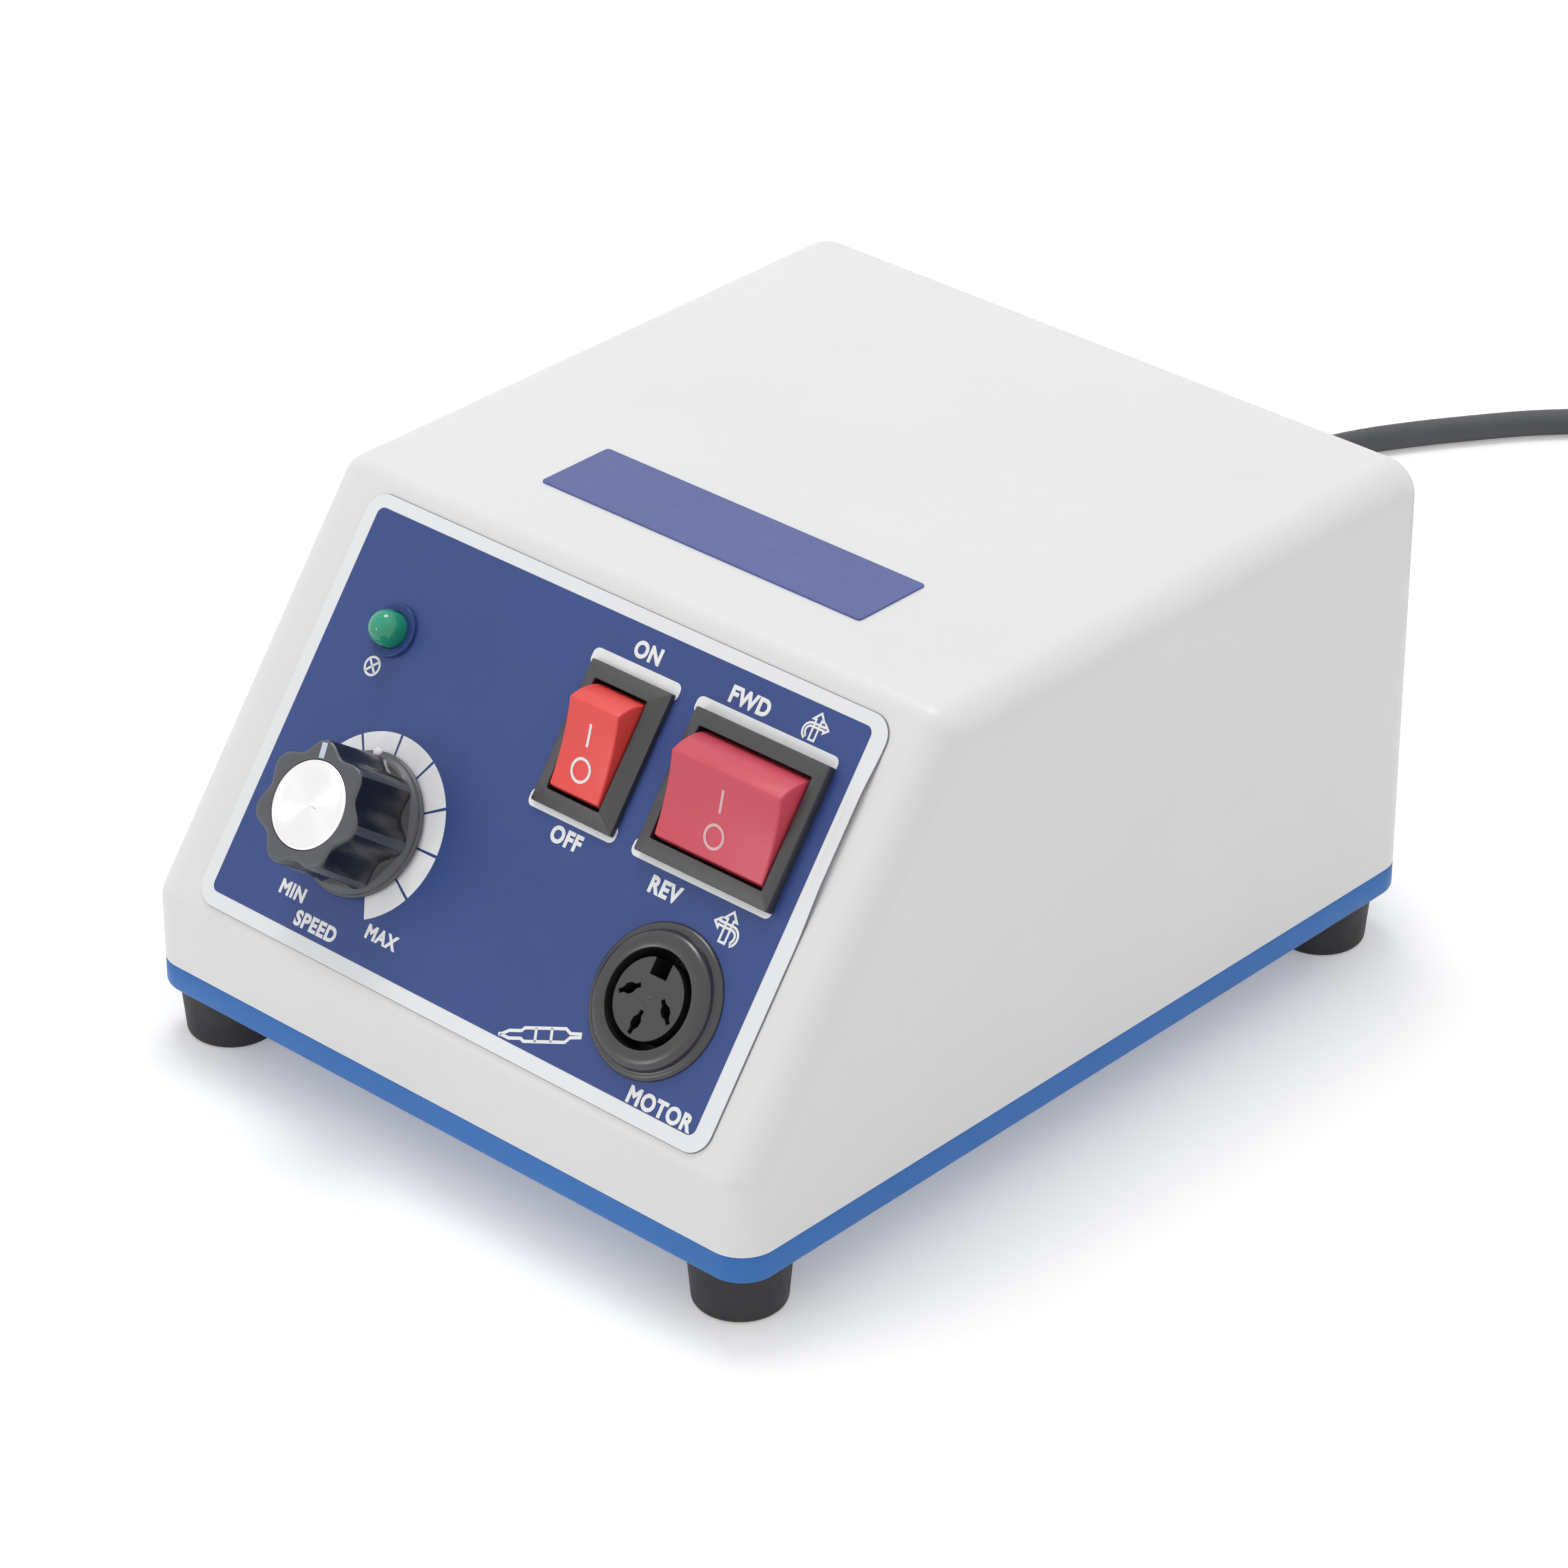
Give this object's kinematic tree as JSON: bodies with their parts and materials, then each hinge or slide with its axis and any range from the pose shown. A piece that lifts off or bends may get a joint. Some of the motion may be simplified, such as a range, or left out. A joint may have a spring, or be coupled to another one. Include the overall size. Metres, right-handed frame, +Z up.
{
  "type": "dental micromotor control box",
  "caption": "Desk control box with a sloped front panel: fluted speed knob, rocker switches, pilot lamp and round motor socket, on rubber feet, with its mains lead coiled behind.",
  "frame": {"origin": "on the standing surface, under the middle of the case with its knob and strain relief", "axes": "+Z up, the front panel faces -Y, +X to the right as seen from the front"},
  "size_m": [0.1874, 0.3352, 0.0783],
  "materials": {
    "white_plastic": "fine-grained moulding",
    "blue_plastic": "moulded colour",
    "black_rubber": "matte",
    "screw_steel": "zinc plated",
    "printed_film": "printed film",
    "lamp_green": "translucent",
    "clear_plastic": "clear",
    "knob_black": "moulded",
    "spun_aluminium": "spun face",
    "brass_parts": "plated",
    "switch_black": "moulded",
    "rocker_red": "translucent red",
    "socket_black": "moulded",
    "core_iron": "laminated",
    "winding_copper": "wound wire under tape",
    "board_green": "solder mask",
    "part_black": "moulded",
    "sleeve_navy": "shrunk sleeve",
    "sink_aluminium": "extruded",
    "lead_grey": "flexible sheath",
    "pin_nickel": "nickel plated"
  },
  "bodies": {
    "case": {"upper_housing": "white_plastic", "base_tray": "blue_plastic", "foot_front_left": "black_rubber", "foot_front_right": "black_rubber", "foot_rear_left": "black_rubber", "foot_rear_right": "black_rubber", "foot_screws": "screw_steel", "front_overlay": "printed_film", "top_label": "printed_film", "lamp_lens": "lamp_green", "lamp_clip": "clear_plastic", "lamp_leads": "screw_steel", "pot_bushing": "brass_parts", "pot_nut": "screw_steel", "pot_washer": "screw_steel", "pot_body": "part_black", "pot_terminals": "brass_parts", "power_switch": "switch_black", "power_switch_terminals": "brass_parts", "direction_switch": "switch_black", "direction_switch_terminals": "brass_parts", "motor_socket": "socket_black", "socket_insert": "socket_black", "socket_contacts": "brass_parts", "socket_nut": "socket_black", "transformer_core": "core_iron", "transformer_winding": "winding_copper", "transformer_strap": "screw_steel", "transformer_screws": "screw_steel", "control_board": "board_green", "board_standoffs": "brass_parts", "board_screws": "screw_steel", "bridge_rectifier": "part_black", "filter_capacitors": "sleeve_navy", "heat_sink": "sink_aluminium", "power_transistor": "part_black", "terminal_block": "board_green", "fuse_holder": "part_black", "fuse_nut": "part_black", "fuse_cap": "part_black", "fuse_link": "pin_nickel", "foot_jack": "part_black", "foot_jack_nut": "screw_steel", "strain_relief": "part_black", "mains_lead": "lead_grey", "lead_coil": "lead_grey", "coil_tie": "part_black", "plug_body": "part_black", "plug_pins": "pin_nickel"},
    "knob": {"speed_knob": "knob_black", "knob_cap": "spun_aluminium", "pot_shaft": "sink_aluminium"},
    "power_rocker": {"power_rocker": "rocker_red"},
    "direction_rocker": {"direction_rocker": "rocker_red"}
  },
  "joints": [
    {"name": "speed_turn", "type": "hinge", "parent": "case", "child": "knob", "pos_m": [-0.0254, -0.069, 0.041], "axis": [0, -0.8007, 0.599], "range_deg": [-165, 135]},
    {"name": "power_rock", "type": "hinge", "parent": "case", "child": "power_rocker", "pos_m": [0.0074, -0.05482, 0.06011], "axis": [1, 0, 0], "range_deg": [-34, 0]},
    {"name": "direction_rock", "type": "hinge", "parent": "case", "child": "direction_rocker", "pos_m": [0.0319, -0.05394, 0.05945], "axis": [1, 0, 0], "range_deg": [-39, 0]}
  ]
}
